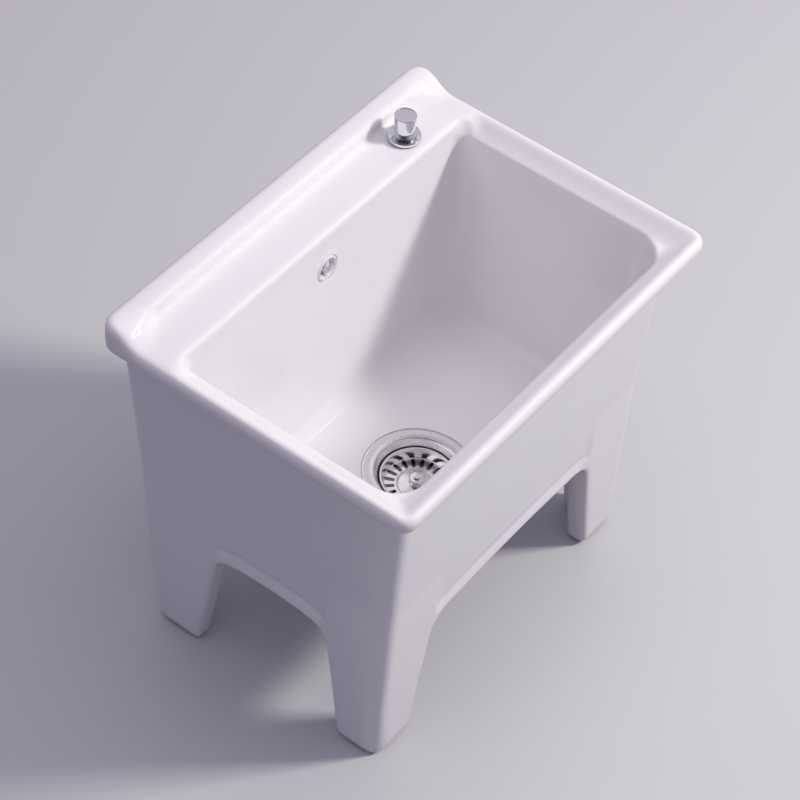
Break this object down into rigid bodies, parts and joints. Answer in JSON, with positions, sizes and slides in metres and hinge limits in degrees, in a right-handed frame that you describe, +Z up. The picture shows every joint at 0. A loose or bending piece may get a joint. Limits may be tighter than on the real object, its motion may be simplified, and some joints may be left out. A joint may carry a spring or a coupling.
{
  "type": "mop sink",
  "caption": "Floor-standing white ceramic mop sink with a deep bowl on arched legs, a raised back lip, an overflow and a pull knob that lifts its basket strainer.",
  "frame": {"origin": "on the floor, under the middle of the rim's outline", "axes": "+Z up, +Y towards the wall behind the sink (the side of the raised lip), +X to the right for a person who stands in front of the sink"},
  "size_m": [0.475, 0.355, 0.4449],
  "materials": {
    "glaze": "gloss white glaze",
    "chrome": "polished",
    "steel": "stainless, polished",
    "rubber": "matt",
    "white_plastic": "gloss",
    "body_plastic": "satin",
    "dark_plastic": "satin",
    "hose_plastic": "satin",
    "sheath_plastic": "satin",
    "brass": "turned"
  },
  "bodies": {
    "sink": {"tub": "glaze", "waste_flange": "steel", "flange_seal": "rubber", "body_seal": "rubber", "lock_nut": "body_plastic", "neck_seal": "rubber", "waste_body": "body_plastic", "cover_seal": "rubber", "body_cover": "body_plastic", "tail_washer": "rubber", "tail_nut": "body_plastic", "tailpiece": "body_plastic", "pin_guide": "dark_plastic", "rocker_pin": "steel", "sheath_ferrules": "brass", "cable_sheath": "sheath_plastic", "cable_gland": "brass", "knob_flange": "chrome", "knob_gasket": "rubber", "knob_guide": "brass", "knob_washer": "steel", "knob_nut": "brass", "cable_stop": "dark_plastic", "overflow_ring": "white_plastic", "overflow_screw": "steel", "overflow_gasket": "rubber", "overflow_elbow": "body_plastic", "overflow_hose": "hose_plastic", "hose_clips": "steel", "cover_screws": "steel"},
    "pull_knob": {"knob": "chrome", "knob_screw": "steel", "knob_rod": "steel", "pull_wire_upper": "steel"},
    "wire_end": {"pull_wire_lower": "steel"},
    "lever": {"rocker_lever": "dark_plastic", "link_pin": "steel"},
    "lifter": {"lift_pin": "steel"},
    "strainer": {"basket": "steel", "basket_knob": "steel", "basket_stem": "steel", "basket_seal": "rubber", "seal_nut": "steel"}
  },
  "joints": [
    {"name": "knob_pull", "type": "slide", "parent": "sink", "child": "pull_knob", "axis": [0, 0, 1], "range_m": [0, 0.01]},
    {"name": "wire_pull", "type": "slide", "parent": "sink", "child": "wire_end", "axis": [1, 0, 0], "range_m": [0, 0.01]},
    {"name": "lever_turn", "type": "hinge", "parent": "sink", "child": "lever", "pos_m": [0.01733, -0.027, 0.0716], "axis": [0, 1, 0], "range_deg": [0, 26]},
    {"name": "pin_lift", "type": "slide", "parent": "sink", "child": "lifter", "axis": [0, 0, 1], "range_m": [0, 0.008]},
    {"name": "basket_lift", "type": "slide", "parent": "lifter", "child": "strainer", "axis": [0, 0, 1], "range_m": [0, 0.07]}
  ],
  "couplings": [
    {"joint": "wire_pull", "follows": "knob_pull", "ratio": 1},
    {"joint": "lever_turn", "follows": "knob_pull", "rad_per_m": 45.378},
    {"joint": "pin_lift", "follows": "knob_pull", "ratio": 0.8}
  ]
}
